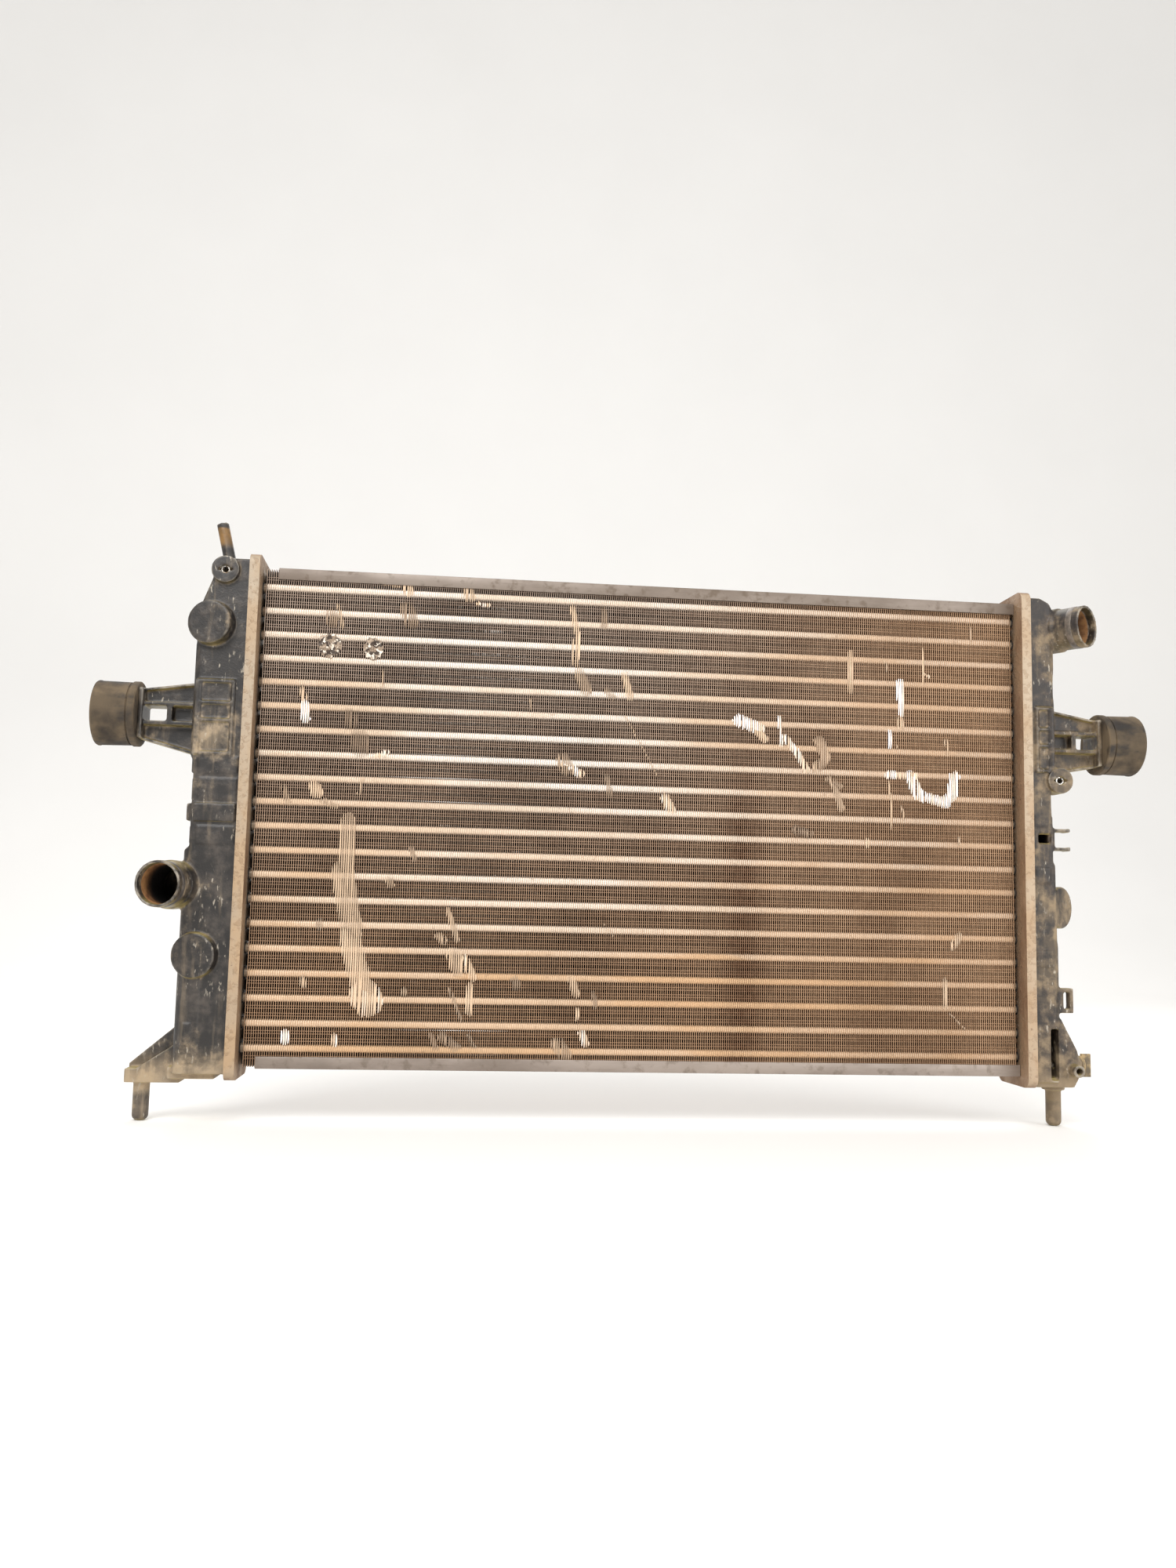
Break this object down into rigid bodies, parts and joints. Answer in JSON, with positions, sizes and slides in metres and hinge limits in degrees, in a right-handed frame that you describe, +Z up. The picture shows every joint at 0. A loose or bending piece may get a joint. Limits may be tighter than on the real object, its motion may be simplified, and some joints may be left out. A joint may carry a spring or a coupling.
{
  "type": "car radiator",
  "caption": "Cross-flow car radiator with a finned aluminium core, crimped dark plastic end tanks, hose necks, side arms with rubber mounts, locating pegs and a drain screw.",
  "frame": {"origin": "centre of the shoulder of the left locating peg, where it seats in the car", "axes": "+X along the tubes from the left tank to the right tank, +Y to the rear face, +Z up; the face with the hose necks looks towards -Y"},
  "size_m": [0.8345, 0.0821, 0.4601],
  "materials": {
    "tube": "drawn tube, dulled and dusty",
    "fin": "rolled strip, dulled and dusty",
    "side_plate": "dull grey sheet",
    "header": "sheet with a cream to tan crust",
    "gasket": "dull",
    "tank": "glass-filled nylon, dusty",
    "rubber_mount": "dull, tan with dust",
    "clip": "zinc plated",
    "drain_screw": "dusty",
    "seal": "dull"
  },
  "bodies": {
    "radiator": {"front_tube_01": "tube", "front_tube_02": "tube", "front_tube_03": "tube", "front_tube_04": "tube", "front_tube_05": "tube", "front_tube_06": "tube", "front_tube_07": "tube", "front_tube_08": "tube", "front_tube_09": "tube", "front_tube_10": "tube", "front_tube_11": "tube", "front_tube_12": "tube", "front_tube_13": "tube", "front_tube_14": "tube", "front_tube_15": "tube", "front_tube_16": "tube", "front_tube_17": "tube", "front_tube_18": "tube", "front_tube_19": "tube", "front_tube_20": "tube", "rear_tube_01": "tube", "rear_tube_02": "tube", "rear_tube_03": "tube", "rear_tube_04": "tube", "rear_tube_05": "tube", "rear_tube_06": "tube", "rear_tube_07": "tube", "rear_tube_08": "tube", "rear_tube_09": "tube", "rear_tube_10": "tube", "rear_tube_11": "tube", "rear_tube_12": "tube", "rear_tube_13": "tube", "rear_tube_14": "tube", "rear_tube_15": "tube", "rear_tube_16": "tube", "rear_tube_17": "tube", "rear_tube_18": "tube", "rear_tube_19": "tube", "rear_tube_20": "tube", "rear_tube_21": "tube", "fin_pack": "fin", "top_side_plate": "side_plate", "bottom_side_plate": "side_plate", "left_header_plate": "header", "right_header_plate": "header", "left_gasket": "gasket", "right_gasket": "gasket", "left_tank": "tank", "right_tank": "tank", "left_rubber_mount": "rubber_mount", "right_rubber_mount": "rubber_mount", "left_cowl_clip": "clip", "right_cowl_clip": "clip"},
    "drain_seal": {"drain_seal": "seal"},
    "drain_screw": {"drain_screw": "drain_screw"}
  },
  "joints": [
    {"name": "drain_seal_slide", "type": "slide", "parent": "radiator", "child": "drain_seal", "axis": [1, 0, 0], "range_m": [0, 0.005]},
    {"name": "drain_turn", "type": "hinge", "parent": "drain_seal", "child": "drain_screw", "pos_m": [0.7145, -0.012, 0.0205], "axis": [1, 0, 0], "range_deg": [0, 720]}
  ],
  "couplings": [
    {"joint": "drain_turn", "follows": "drain_seal_slide", "rad_per_m": 2513.3}
  ]
}
